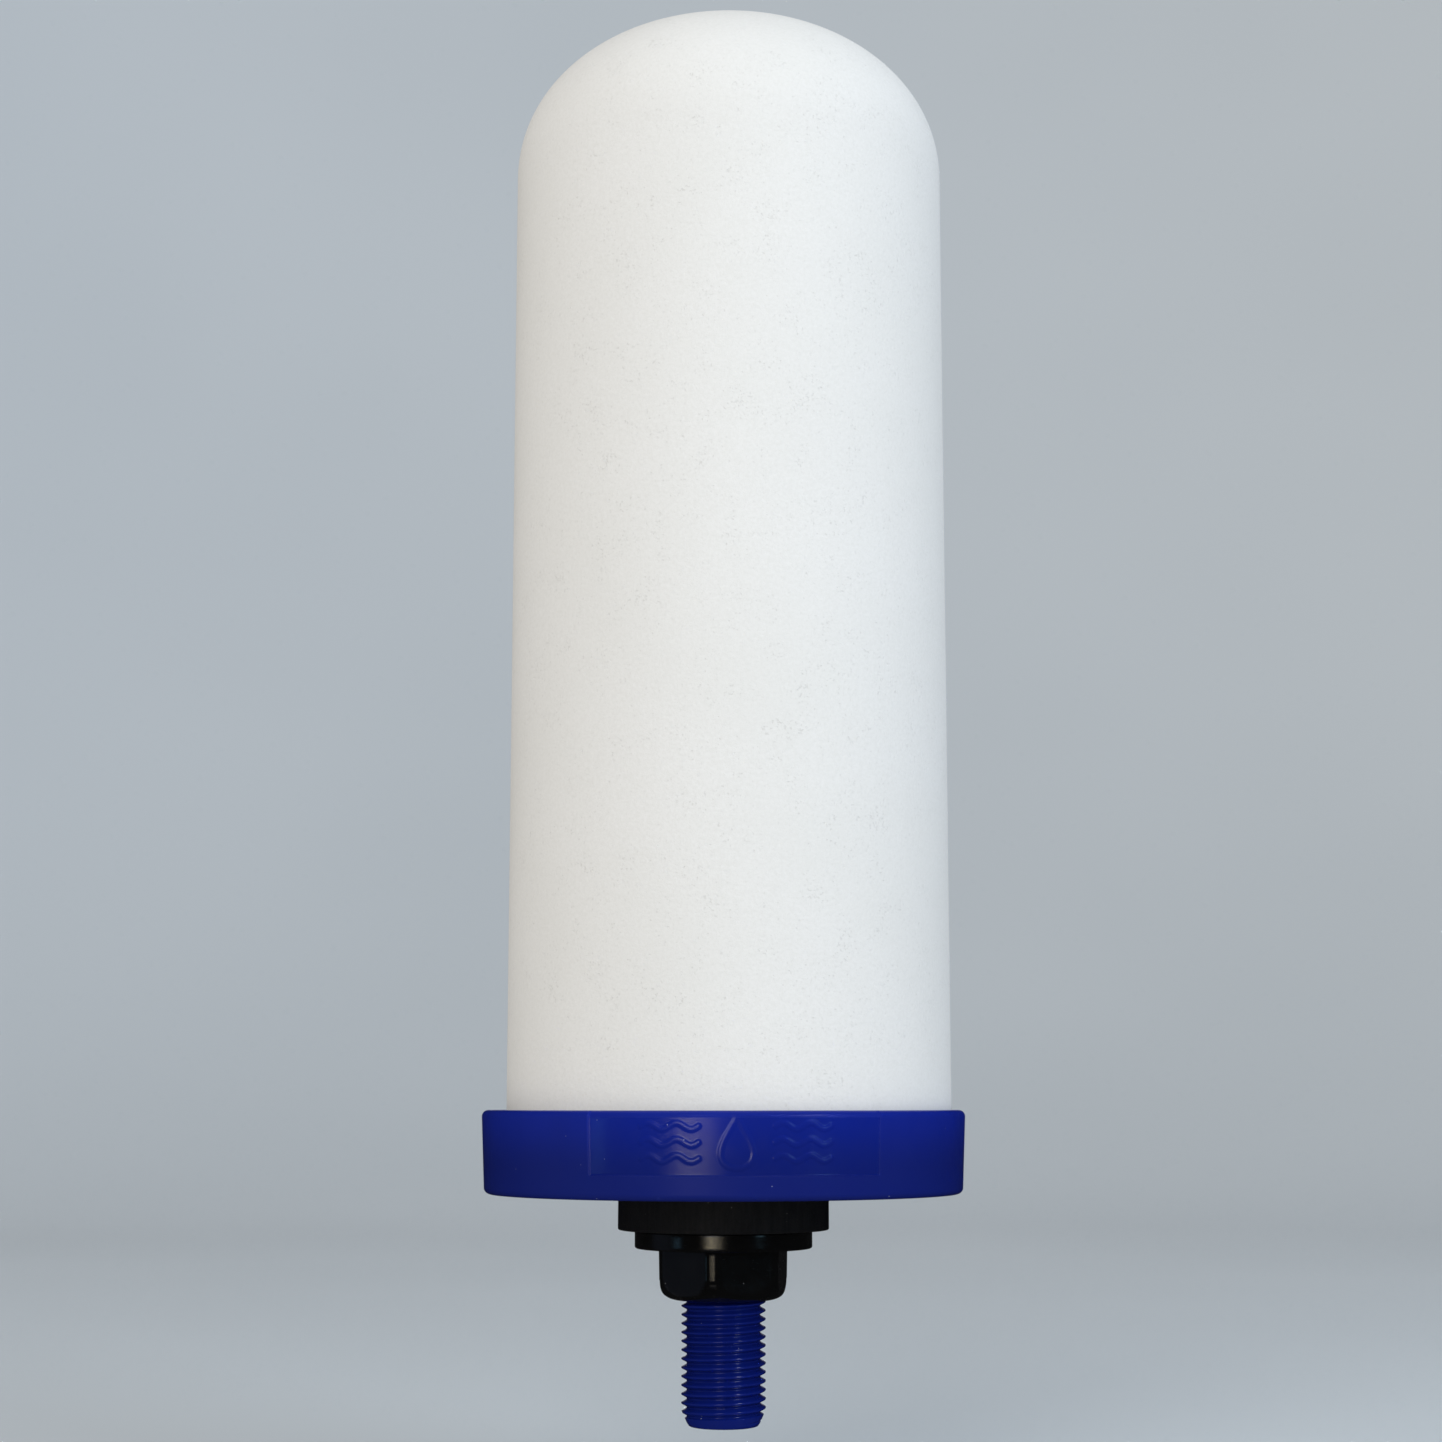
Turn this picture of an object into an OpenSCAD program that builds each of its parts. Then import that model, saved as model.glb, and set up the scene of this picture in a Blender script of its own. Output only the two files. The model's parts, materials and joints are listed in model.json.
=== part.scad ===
// Ceramic candle water filter: a domed ceramic shell bonded into a moulded cap,
// a carbon block core inside it, and a threaded outlet stem with its washer and nut.
//
// Frame: millimetres, +Z up towards the dome. The origin is on the stem's axis,
// in the plane of the cap's underside, which is the face that seats on the vessel floor.

/* [Shell] */
// Outer diameter of the ceramic shell
shell_d = 70; // [66:0.5:71]
// Wall of the ceramic shell
shell_wall = 8; // [7.5:0.25:8]
// Height of the shell's crown above the cap's underside
crown_z = 191.2; // [180:0.1:230]
// Height of the dome above the straight wall
dome_h = 26.3; // [24:0.1:34]
// Fullness of the dome: 2 is an ellipse, and more is squarer at the shoulder
dome_fullness = 2.09; // [2:0.01:3]
// How far off the cap's centre the shell is bonded
shell_offset = 0.85; // [0:0.05:0.9]

/* [Base cap] */
// Diameter of the cap at its rim
cap_d = 75.9; // [75.5:0.1:80]
// Height of the cap
cap_h = 12.9; // [12.5:0.1:15]
// How much smaller the cap's radius is at its foot, for the mould's draft
cap_draft = 0.45; // [0.2:0.05:0.6]
// Rounding of the cap's outer edges
cap_edge = 1; // [0.6:0.1:1.3]
// Angle that the recessed label panel covers
panel_angle = 68.5; // [40:0.5:120]

/* [Stem] */
// Diameter over the crests of the stem's thread
thread_d = 13.157; // [12.9:0.001:13.3]
// Pitch of the thread, 19 to the inch
thread_pitch = 1.337; // [1.25:0.001:1.5]
// Length of the stem below the cap
stem_l = 35.5; // [32:0.5:45]
// Diameter of the outlet bore
outlet_d = 7; // [5:0.5:8]

/* [Washer and nut] */
// Diameter of the sealing washer
washer_d = 33.1; // [28:0.1:34]
// Thickness of the sealing washer
washer_t = 5.6; // [4.6:0.1:7]
// Diameter of the nut's flange
flange_d = 27.8; // [24:0.1:30]
// Thickness of the nut's flange
flange_t = 2.85; // [2:0.05:3.5]
// Width of the nut across its flats
nut_flats = 18.9; // [17.5:0.1:20]
// Diameter that the nut's corners are turned down to
nut_corner_d = 21; // [20:0.1:23]
// Height of the whole nut
nut_h = 10.7; // [9:0.1:13]
// Turn of the nut's corners about the stem
nut_turn = -10; // [-30:1:30]

/* [Core] */
// Diameter of the carbon block
block_d = 40; // [30:0.5:40]
// Diameter of the hole down the carbon block
block_bore_d = 12; // [10:0.5:16]
// Length of the carbon block
block_l = 141; // [100:1:141]

/* [Hidden] */

$fn = 96;
eps = 0.01;          // overlap that keeps unions and cuts clean
running_gap = 0.08;  // radial gap of a part that slides over another

// Shell and the channel that it is bonded into
shell_r = shell_d / 2;
shell_inner_r = shell_r - shell_wall;
straight_z = crown_z - dome_h;
crown_wall = shell_wall + 1;
floor_t = 3;
shell_foot_z = floor_t + 1;
bond_gap = 1.2;
channel_outer_r = shell_r + bond_gap;
channel_inner_r = shell_inner_r - shell_offset - 0.55;
guide_wall = 2.1;
guide_top_z = 11;
bond_outer_top_z = cap_h - 1;
bond_inner_top_z = 9;

// Cap
cap_r = cap_d / 2;
cap_foot_r = cap_r - cap_draft;
panel_recess = 0.25;
panel_foot_z = 3.6;
panel_turn = -87;    // middle of the panel, a little right of the front
seat_groove_r = 18;
seat_groove_w = 1;
seat_groove_depth = 0.5;

// Socket that takes the core's spigot
boss_r = 10;
boss_top_z = 14;
socket_r = 6.2;
socket_floor_z = 5.5;
rib_count = 8;
rib_t = 2;
rib_top_z = 9;

// Stem and its thread, with 27.5 degree flanks
crest_r = thread_d / 2;
thread_depth = 0.8565;
root_r = crest_r - thread_depth;
shank_r = crest_r + 0.02;
shank_l = 4.2;
tip_l = 2.5;
tip_r = 5.45;
tip_top_z = tip_l - stem_l;
tip_inset = 0.02;    // keeps the faceted thread just inside the tip's round chamfer
outlet_r = outlet_d / 2;
thread_gap = 0.12;   // radial gap between the nut's thread and the stem's
flank_gap = 0.05;    // extra gap along the axis at each flank
thread_segments = 24;
core_r = root_r * cos(180 / thread_segments) - 0.06;
stem_turns = [floor(-stem_l / thread_pitch) + 1, ceil(-shank_l / thread_pitch)];

// Nut
nut_top_z = -washer_t;
nut_edge = 0.3;      // rounding of the nut's upright edges
nut_foot_r = crest_r + 0.7;
nut_round = nut_flats / 2 + 1 - nut_foot_r;
flange_edge = 0.35;
washer_edge = 0.25;
nut_mouth_r = crest_r + 0.4;
nut_mouth_l = 0.8;
nut_turns = [floor((nut_top_z - nut_h) / thread_pitch) - 1, ceil(nut_top_z / thread_pitch)];

// Core, from its bottom cap upwards
spigot_r = 5.6;
spigot_bore_r = 3.2;
spigot_foot_z = 6;
o_ring_z = 10;
o_ring_minor_r = 0.78;
groove_r = 4.6;
groove_w = 2.2;
core_plate_t = 2;
core_skirt = 5;
bond_t = 0.6;
liner_t = 0.6;
wrap_t = 1.2;
netting_t = 0.9;
block_r = block_d / 2;
block_bore_r = block_bore_d / 2;
wrap_r = block_r + wrap_t;
netting_r = wrap_r + netting_t;
core_cap_inner_r = netting_r + 0.2;
core_cap_r = core_cap_inner_r + 1.5;
bottom_plate_z = boss_top_z;
bottom_bond_z = bottom_plate_z + core_plate_t;
block_z = bottom_bond_z + bond_t;
block_top_z = block_z + block_l;
top_plate_z = block_top_z + bond_t;
pad_r = 9;
pad_z = top_plate_z + core_plate_t;
pad_top_z = crown_z - crown_wall - 1.1;
netting_rings = 9;
netting_bars = 12;
strand = 1.1;

// A ring or disc with its foot at z
module tube(outer, inner, z, h) {
    translate([0, 0, z])
        difference() {
            cylinder(r = outer, h = h);
            if (inner > 0)
                translate([0, 0, -eps])
                    cylinder(r = inner, h = h + 2 * eps);
        }
}

// Half outline of a domed plug: straight side, then a superellipse up to the crown
function dome_outline(r, foot, side_top, h, steps = 30) =
    concat([[0, foot], [r, foot]],
           [for (i = [0 : steps - 1])
               let (a = 90 * i / steps)
                   [r * pow(cos(a), 2 / dome_fullness), side_top + h * pow(sin(a), 2 / dome_fullness)]],
           [[0, side_top + h]]);

module domed_plug(r, foot, side_top, h) {
    rotate_extrude()
        polygon(dome_outline(r, foot, side_top, h));
}

// Shell without its hollow, standing where it is bonded
module shell_outside() {
    translate([shell_offset, 0, 0])
        domed_plug(shell_r, shell_foot_z, straight_z, dome_h);
}

module ceramic_shell() {
    color("ivory")
        difference() {
            shell_outside();
            translate([shell_offset, 0, 0])
                domed_plug(shell_inner_r, shell_foot_z - 1, straight_z, dome_h - crown_wall);
        }
}

// Helical rod for the stem's thread, or for the cut in the nut, from one whole turn to another,
// counted from z = 0 so that the two are in step. Each row of points is one corner of the thread's
// outline and follows the helix, so after a full turn it meets the row that is four further up.
module helical_rod(turns, grow = 0, widen = 0, inside_tip = false) {
    foot_r = root_r + grow;
    top_r = crest_r + grow;
    w = widen / thread_pitch;
    corners = [[w, foot_r], [1 / 6 - w, foot_r], [1 / 2 - w, top_r], [2 / 3 + w, top_r]];
    n = thread_segments;
    rows = 4 * (turns[1] - turns[0]);
    function height(i, s) = (turns[0] + floor(i / 4) + corners[i % 4][0] + s / n) * thread_pitch;
    function limit(z) = inside_tip && z < tip_top_z
        ? tip_r + (shank_r - tip_r) * (z + stem_l) / tip_l - tip_inset
        : top_r;
    function corner(i, s) =
        let (z = height(i, s), r = min(corners[i % 4][1], limit(z)), a = 360 * s / n)
            [r * cos(a), r * sin(a), z];
    function id(i, s) = s == n ? (i + 4) * n : i * n + s;
    middle = thread_pitch / 2;
    points = concat([for (i = [0 : rows]) for (s = [0 : n - 1]) corner(i, s)],
                    [[0, 0, height(0, 0) + middle], [0, 0, height(rows, 0) + middle]]);
    foot = len(points) - 2;
    head = foot + 1;
    foot_loop = concat([for (s = [0 : n - 1]) id(0, s)], [for (i = [4 : -1 : 1]) id(i, 0)]);
    head_loop = concat([for (s = [0 : n - 1]) id(rows, s)], [for (i = [1 : 4]) id(rows - i, n - 1)]);
    sides = [for (s = [0 : n - 1])
                for (i = [0 : (s == n - 1 ? rows - 5 : rows - 1)])
                    for (t = [[id(i, s), id(i + 1, s), id(i + 1, s + 1)],
                              [id(i, s), id(i + 1, s + 1), id(i, s + 1)]])
                        t];
    foot_faces = [for (k = [0 : len(foot_loop) - 1])
                     [foot, foot_loop[k], foot_loop[(k + 1) % len(foot_loop)]]];
    head_faces = [for (k = [0 : len(head_loop) - 1])
                     [head, head_loop[(k + 1) % len(head_loop)], head_loop[k]]];
    polyhedron(points, concat(sides, foot_faces, head_faces), convexity = 10);
}

// Outline of the cap's wall with rounded edges, from the axis outwards
function edge_arc(r, z, from, steps = 6) =
    [for (i = [0 : steps])
        let (a = from + 90 * i / steps)
            [r + cap_edge * cos(a), z + cap_edge * sin(a)]];

module cap_cup() {
    rotate_extrude()
        polygon(concat([[0, 0]],
                       edge_arc(cap_foot_r - cap_edge, cap_edge, -90),
                       edge_arc(cap_r - cap_edge, cap_h - cap_edge, 0),
                       [[0, cap_h]]));
}

// Recess for a label on the cap's front
module label_panel() {
    rotate([0, 0, panel_turn - panel_angle / 2])
        rotate_extrude(angle = panel_angle)
            polygon([[cap_foot_r - panel_recess + cap_draft * panel_foot_z / cap_h, panel_foot_z],
                     [cap_r + 1, panel_foot_z],
                     [cap_r + 1, cap_h - cap_edge],
                     [cap_r - panel_recess, cap_h - cap_edge]]);
}

module cap_ribs() {
    for (i = [0 : rib_count - 1])
        rotate([0, 0, 360 * i / rib_count])
            translate([boss_r - 0.5, -rib_t / 2, floor_t - eps])
                cube([channel_inner_r - guide_wall - boss_r + 1, rib_t, rib_top_z - floor_t]);
}

// Plain core of the stem's tip, slimmer than the thread's root so that the nut passes over it
module stem_tip() {
    chamfer_l = tip_l * (core_r - tip_r) / (shank_r - tip_r);
    rotate_extrude()
        polygon([[0, -stem_l], [tip_r, -stem_l], [core_r, chamfer_l - stem_l], [core_r, tip_top_z],
                 [0, tip_top_z]]);
}

module base_cap() {
    color("navy")
        difference() {
            union() {
                difference() {
                    cap_cup();
                    tube(channel_outer_r, channel_inner_r, floor_t, cap_h);
                    translate([0, 0, floor_t])
                        cylinder(r = channel_inner_r + eps, h = cap_h);
                    label_panel();
                    tube(seat_groove_r, seat_groove_r - seat_groove_w, -eps, seat_groove_depth + eps);
                }
                tube(channel_inner_r, channel_inner_r - guide_wall, floor_t - eps,
                     guide_top_z - floor_t);
                translate([0, 0, floor_t - eps])
                    cylinder(r = boss_r, h = boss_top_z - floor_t + eps);
                cap_ribs();
                translate([0, 0, -shank_l])
                    cylinder(r = shank_r, h = shank_l + 1);
                helical_rod(stem_turns, inside_tip = true);
                stem_tip();
            }
            translate([0, 0, -stem_l - 1])
                cylinder(r = outlet_r, h = stem_l + boss_top_z);
            translate([0, 0, socket_floor_z])
                cylinder(r = socket_r, h = boss_top_z);
        }
}

// Adhesive in the channel, under the shell's foot and up both its sides
module potting_ring() {
    color("lightgray")
        difference() {
            tube(channel_outer_r, channel_inner_r, floor_t, bond_outer_top_z - floor_t);
            translate([shell_offset, 0, 0])
                tube(shell_r, shell_inner_r, shell_foot_z, cap_h);
            translate([shell_offset, 0, bond_inner_top_z])
                cylinder(r = shell_inner_r + eps, h = cap_h);
        }
}

module carbon_block() {
    color("dimgray")
        tube(block_r, block_bore_r, block_z, block_l);
}

// Non-woven lining that keeps carbon fines out of the outlet
module core_liner() {
    color("white")
        tube(block_bore_r, block_bore_r - liner_t, block_z, block_l);
}

module block_wrap() {
    color("whitesmoke")
        tube(wrap_r, block_r, block_z, block_l);
}

// Net sleeve of rings and upright strands
module block_netting() {
    color("white")
        union() {
            for (i = [0 : netting_rings - 1])
                tube(netting_r, wrap_r, block_z + i * (block_l - strand) / (netting_rings - 1), strand);
            intersection() {
                tube(netting_r, wrap_r, block_z, block_l);
                for (i = [0 : netting_bars / 2 - 1])
                    rotate([0, 0, 360 * i / netting_bars])
                        translate([-netting_r, -strand / 2, block_z])
                            cube([2 * netting_r, strand, block_l]);
            }
        }
}

module block_bottom_cap() {
    color("white")
        difference() {
            union() {
                tube(core_cap_r, 0, bottom_plate_z, core_plate_t);
                tube(core_cap_r, core_cap_inner_r, bottom_plate_z + core_plate_t - eps, core_skirt);
                tube(spigot_r, 0, spigot_foot_z, bottom_plate_z - spigot_foot_z + eps);
            }
            tube(spigot_bore_r, 0, spigot_foot_z - 1, bottom_plate_z);
            tube(spigot_r + 1, groove_r, o_ring_z - groove_w / 2, groove_w);
        }
}

module block_top_cap() {
    color("white")
        union() {
            tube(core_cap_r, 0, top_plate_z, core_plate_t);
            tube(core_cap_r, core_cap_inner_r, top_plate_z - core_skirt, core_skirt + eps);
        }
}

module bottom_bond() {
    color("wheat")
        tube(netting_r, block_bore_r + 1, bottom_bond_z, bond_t);
}

module top_bond() {
    color("wheat")
        tube(netting_r, 0, block_top_z, bond_t);
}

module spigot_o_ring() {
    color("black")
        translate([0, 0, o_ring_z])
            rotate_extrude()
                translate([(groove_r + socket_r) / 2, 0])
                    circle(r = o_ring_minor_r);
}

// Foam pad that keeps the core seated on its spigot
module dome_pad() {
    color("lightblue")
        tube(pad_r, 0, pad_z, pad_top_z - pad_z);
}

// Disc with its outer edges rounded
module rounded_disc(r, z, h, edge, steps = 4) {
    rotate_extrude()
        polygon(concat([[0, z]],
                       [for (i = [0 : steps])
                           let (a = 90 * i / steps)
                               [r - edge + edge * sin(a), z + edge - edge * cos(a)]],
                       [for (i = [0 : steps])
                           let (a = 90 * i / steps)
                               [r - edge + edge * cos(a), z + h - edge + edge * sin(a)]],
                       [[0, z + h]]));
}

module seal_washer() {
    color([0.08, 0.08, 0.08])
        difference() {
            rounded_disc(washer_d / 2, -washer_t, washer_t, washer_edge);
            tube(shank_r + running_gap, 0, -washer_t - 1, washer_t + 2);
        }
}

// Outline of the nut: a hexagon with its corners turned down
module nut_outline() {
    rotate(nut_turn - 90)
        offset(r = nut_edge, $fn = 48)
            offset(delta = -nut_edge)
                intersection() {
                    circle(r = nut_flats / 2 / cos(30), $fn = 6);
                    circle(r = nut_corner_d / 2, $fn = 144);
                }
}

// Hexagon of the nut, with its foot turned to a round shoulder
module nut_hexagon(steps = 8) {
    translate([0, 0, nut_top_z - nut_h])
        intersection() {
            linear_extrude(height = nut_h - eps)
                nut_outline();
            rotate_extrude()
                polygon(concat([[0, 0]],
                               [for (i = [0 : steps])
                                   let (a = 90 * i / steps)
                                       [nut_foot_r + nut_round * sin(a), nut_round * (1 - cos(a))]],
                               [[nut_flats, nut_round + 1], [nut_flats, nut_h], [0, nut_h]]));
        }
}

module flange_nut() {
    color([0.03, 0.03, 0.04])
        difference() {
            union() {
                rounded_disc(flange_d / 2, nut_top_z - flange_t, flange_t, flange_edge);
                nut_hexagon();
            }
            helical_rod(nut_turns, grow = thread_gap, widen = flank_gap);
            for (z = [nut_top_z - nut_mouth_l, nut_top_z - nut_h - 1])
                translate([0, 0, z])
                    cylinder(r = nut_mouth_r, h = nut_mouth_l + 1);
        }
}

ceramic_shell();
base_cap();
potting_ring();
carbon_block();
core_liner();
block_wrap();
block_netting();
block_bottom_cap();
block_top_cap();
bottom_bond();
top_bond();
spigot_o_ring();
dome_pad();
seal_washer();
flange_nut();
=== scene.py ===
"""Looks for the ceramic candle filter: fine meshes, procedural finishes, studio and camera.

Lengths are in metres in the CAD frame. Sizes in millimetres are multiplied by MM.
"""

import itertools
import json
import math

import bmesh
import bpy
import numpy as np
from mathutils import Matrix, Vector


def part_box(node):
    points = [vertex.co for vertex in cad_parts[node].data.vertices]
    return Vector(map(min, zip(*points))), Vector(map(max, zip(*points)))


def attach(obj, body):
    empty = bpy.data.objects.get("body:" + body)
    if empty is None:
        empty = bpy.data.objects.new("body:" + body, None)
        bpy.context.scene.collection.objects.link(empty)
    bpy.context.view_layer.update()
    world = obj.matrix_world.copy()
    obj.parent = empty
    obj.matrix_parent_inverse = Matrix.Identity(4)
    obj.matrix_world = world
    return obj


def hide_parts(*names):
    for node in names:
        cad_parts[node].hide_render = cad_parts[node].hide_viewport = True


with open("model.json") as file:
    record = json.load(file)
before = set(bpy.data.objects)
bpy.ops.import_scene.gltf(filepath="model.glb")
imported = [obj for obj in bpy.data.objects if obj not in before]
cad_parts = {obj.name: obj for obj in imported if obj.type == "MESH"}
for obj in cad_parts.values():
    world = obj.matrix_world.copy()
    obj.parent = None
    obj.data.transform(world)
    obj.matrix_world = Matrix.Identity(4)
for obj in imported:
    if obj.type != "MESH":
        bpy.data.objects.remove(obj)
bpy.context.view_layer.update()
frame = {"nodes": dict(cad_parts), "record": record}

MM = 0.001
TAU = 2 * math.pi

# ---------------------------------------------------------------- places and sizes

record = frame["record"]
mounts = {mount["name"]: mount for mount in record["mounts"]}
coupling = record["behaviour"]["couplings"][0]

shell_low, shell_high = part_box("ceramic_shell")
cap_low, cap_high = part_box("base_cap")
bond_low, bond_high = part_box("potting_ring")
washer_low, washer_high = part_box("seal_washer")
nut_low, nut_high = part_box("flange_nut")

SHELL_R = (shell_high.y - shell_low.y) / 2
SHELL_SHIFT = (shell_high.x + shell_low.x) / 2
SHELL_WALL = 8 * MM
DOME_H = 26.3 * MM
DOME_FULLNESS = 2.09

CAP_R = cap_high.x
CAP_FOOT_R = CAP_R - 0.45 * MM
CAP_H = 12.9 * MM
CAP_EDGE = 1.0 * MM
CHANNEL_R = bond_high.x
CHANNEL_FLOOR_Z = bond_low.z
UPSTAND_R = 25.6 * MM
UPSTAND_WALL = 2.1 * MM
UPSTAND_TOP_Z = 11 * MM
BOSS_R = 10 * MM
BOSS_TOP_Z = cap_high.z
SOCKET_R = 6.2 * MM
SOCKET_FLOOR_Z = 5.5 * MM
RIB_COUNT = 8
RIB_T = 2 * MM
RIB_TOP_Z = 9 * MM
SEAT_GROOVE_R = 17.5 * MM
SEAT_GROOVE_W = 1.0 * MM
SEAT_GROOVE_DEPTH = 0.5 * MM

PANEL_MIDDLE = math.radians(-87)
PANEL_ANGLE = math.radians(68.5)
PANEL_FOOT_Z = 3.6 * MM
PANEL_RECESS = 0.25 * MM
PANEL_SIDE_W = 0.5 * MM
RELIEF_H = 0.09 * MM
RELIEF_STROKE = 0.42 * MM
RELIEF_REACH = 5 * MM
RELIEF_MIDDLE_Z = 8.4 * MM

CREST_R = mounts["stem_thread"]["dims"]["r_mm"] * MM
SHANK_R = CREST_R + 0.02 * MM
SHANK_FOOT_Z = -4.2 * MM
RUN_OUT_L = 0.9 * MM
PITCH = TAU / coupling["ratio"]
THREAD_DEPTH = 0.8565 * MM
THREAD_COLUMNS = 96
THREAD_ROWS = 24
TIP_Z = cap_low.z
TIP_R = 5.45 * MM
TIP_L = 2.5 * MM
TIP_PLAIN_L = 0.5 * MM
OUTLET_R = mounts["outlet"]["dims"]["r_mm"] * MM

WASHER_R = washer_high.x
NUT_TURN = math.radians(-10)
NUT_FLAT_R = 9.45 * MM
NUT_CORNER_R = 10.5 * MM
NUT_DRAFT = 0.08 * MM
NUT_MOUTH_R = CREST_R + 0.4 * MM
NUT_MOUTH_L = 0.8 * MM
NUT_FOOT_R = CREST_R + 0.7 * MM
NUT_TRAVEL = record["behaviour"]["joints"][0]["range_m"][1]
FLOOR_Z = nut_low.z - NUT_TRAVEL
FLANGE_R = nut_high.x
FLANGE_L = 2.85 * MM
THREAD_GAP = 0.12 * MM
FLANK_ANGLE = math.radians(27.5)
CREST_ROUND = 0.137329 * PITCH


# ---------------------------------------------------------------- mesh helpers

def smoothstep(low, high, x):
    t = np.clip((np.asarray(x, float) - low) / (high - low), 0, 1)
    return t * t * (3 - 2 * t)


def smooth_min(a, b, blend):
    """The smaller of a and b, rounded where they cross."""
    h = np.clip(0.5 + 0.5 * (b - a) / blend, 0, 1)
    return b * (1 - h) + a * h - blend * h * (1 - h)


def wobble(angle, height, seed, waves=9, turns=5, rate=90):
    """A smooth uneven field between about -1 and 1 over a round surface."""
    random = np.random.default_rng(seed)
    gain = 1.6
    total = 0
    for _ in range(waves):
        around = random.integers(1, turns + 1)
        along = random.uniform(-rate, rate)
        size = random.uniform(0.5, 1)
        start = random.uniform(0, TAU)
        total = total + size * np.sin(around * angle + along * height + start)
    return total / waves * gain


class Surface:
    """The points and faces of one piece, built up from joined rings and from boxes."""

    def __init__(self):
        self.points = []
        self.faces = []

    def add_points(self, radius, angle, height, shift=0.0):
        """A ring of points. Returns their numbers."""
        radius, angle, height = np.broadcast_arrays(radius, angle, height)
        first = len(self.points)
        for r, a, z in zip(radius, angle, height):
            self.points.append((r * math.cos(a) + shift, r * math.sin(a), z))
        return list(range(first, len(self.points)))

    def join(self, ring, other):
        """Quads between two rings of the same length."""
        n = len(ring)
        for i in range(n):
            k = (i + 1) % n
            self.faces.append((ring[i], ring[k], other[k], other[i]))

    def sweep(self, angle, rows, start=None, shift=0.0):
        """Rings from rows of (radius, height), each joined to the last.

        Returns the first and the last ring.
        """
        first = last = start
        for radius, height in rows:
            ring = self.add_points(radius, angle, height, shift)
            if last is not None:
                self.join(last, ring)
            first = first or ring
            last = ring
        return first, last

    def close_end(self, ring, height, shift=0.0):
        """A fan from a ring to a point on the axis."""
        self.points.append((shift, 0.0, height))
        tip = len(self.points) - 1
        n = len(ring)
        for i in range(n):
            self.faces.append((ring[i], ring[(i + 1) % n], tip))

    def block(self, low, high, turn):
        """A closed box between two corners, turned about the axis."""
        first = len(self.points)
        for x, y, z in itertools.product(*zip(low, high)):
            self.points.append((x * math.cos(turn) - y * math.sin(turn),
                                x * math.sin(turn) + y * math.cos(turn), z))
        for face in ((0, 1, 3, 2), (4, 6, 7, 5), (0, 4, 5, 1),
                     (2, 3, 7, 6), (0, 2, 6, 4), (1, 5, 7, 3)):
            self.faces.append(tuple(first + corner for corner in face))

    def zip_rings(self, ring, other):
        """Triangles between two flat rings whose points don't match."""
        def by_angle(numbers):
            found = [(math.atan2(self.points[i][1], self.points[i][0]) % TAU, i) for i in numbers]
            return sorted(found)

        a, b = by_angle(ring), by_angle(other)
        i = j = 0
        while i < len(a) or j < len(b):
            next_a = a[(i + 1) % len(a)][0] + (TAU if i + 1 >= len(a) else 0)
            next_b = b[(j + 1) % len(b)][0] + (TAU if j + 1 >= len(b) else 0)
            here_a, here_b = a[i % len(a)][1], b[j % len(b)][1]
            if j >= len(b) or (i < len(a) and next_a <= next_b):
                i += 1
                self.faces.append((here_a, a[i % len(a)][1], here_b))
            else:
                j += 1
                self.faces.append((here_a, b[j % len(b)][1], here_b))

    def helix(self, radius_at, low, high, columns, rows_per_turn):
        """A threaded wall between two heights, with rows that follow the helix.

        radius_at(phase, height) has to be the same all round at both ends.
        Returns the low ring and the high ring.
        """
        first_row = int(math.floor(low / PITCH)) * rows_per_turn - rows_per_turn
        last_row = int(math.ceil(high / PITCH)) * rows_per_turn + rows_per_turn
        rows = np.arange(first_row, last_row + 1)
        numbers = {}
        low_ring, high_ring = [], []
        for j in range(columns):
            angle = TAU * j / columns
            height = (rows / rows_per_turn + j / columns) * PITCH
            clipped = np.clip(height, low, high)
            phase = (clipped / PITCH - j / columns) % 1
            radius = radius_at(phase, clipped)
            low_ring += self.add_points([radius[0]], [angle], [low])
            high_ring += self.add_points([radius[-1]], [angle], [high])
            for row, z, r in zip(rows, height, radius):
                if z <= low:
                    numbers[row, j] = low_ring[j]
                elif z >= high:
                    numbers[row, j] = high_ring[j]
                else:
                    numbers[row, j] = self.add_points([r], [angle], [z])[0]

        def number(row, j):
            if j == columns:
                row, j = row + rows_per_turn, 0
            return numbers.get((row, j), high_ring[j])

        for j in range(columns):
            for row in rows[:-1]:
                corners = [number(row, j), number(row, j + 1),
                           number(row + 1, j + 1), number(row + 1, j)]
                face = [c for k, c in enumerate(corners) if c != corners[k - 1]]
                if len(set(face)) >= 3:
                    self.faces.append(tuple(face))
        return low_ring, high_ring

    def mesh(self, name, sharp):
        """The mesh, its normals all on one side, with edges sharper than an angle kept crisp."""
        mesh = bpy.data.meshes.new(name)
        mesh.from_pydata(self.points, [], self.faces)
        work = bmesh.new()
        work.from_mesh(mesh)
        bmesh.ops.recalc_face_normals(work, faces=work.faces)
        work.to_mesh(mesh)
        work.free()
        mesh.shade_smooth()
        mesh.set_sharp_from_angle(angle=math.radians(sharp))
        return mesh

    def make(self, name, body, material, nodes, sharp=35):
        """The finished piece, in place of its CAD nodes."""
        mesh = self.mesh(name, sharp)
        mesh.materials.append(material)
        piece = bpy.data.objects.new(name, mesh)
        bpy.context.scene.collection.objects.link(piece)
        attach(piece, body)
        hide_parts(*nodes)


def arc(radius, height, size, start, end, steps):
    """Rows round a quarter bend: angles in degrees, 0 outwards and 90 up."""
    return [(radius + size * math.cos(a), height + size * math.sin(a))
            for a in np.radians(np.linspace(start, end, steps))]


def even_angles(count):
    return np.arange(count) * TAU / count


# ---------------------------------------------------------------- material helpers

def add(tree, kind, settings=None, **inputs):
    """A node with its settings and inputs. An input is a value or another node's socket."""
    made = tree.nodes.new(kind)
    for key, value in (settings or {}).items():
        setattr(made, key, value)
    for key, value in inputs.items():
        put(tree, made.inputs[key.replace("_", " ")], value)
    return made


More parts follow.
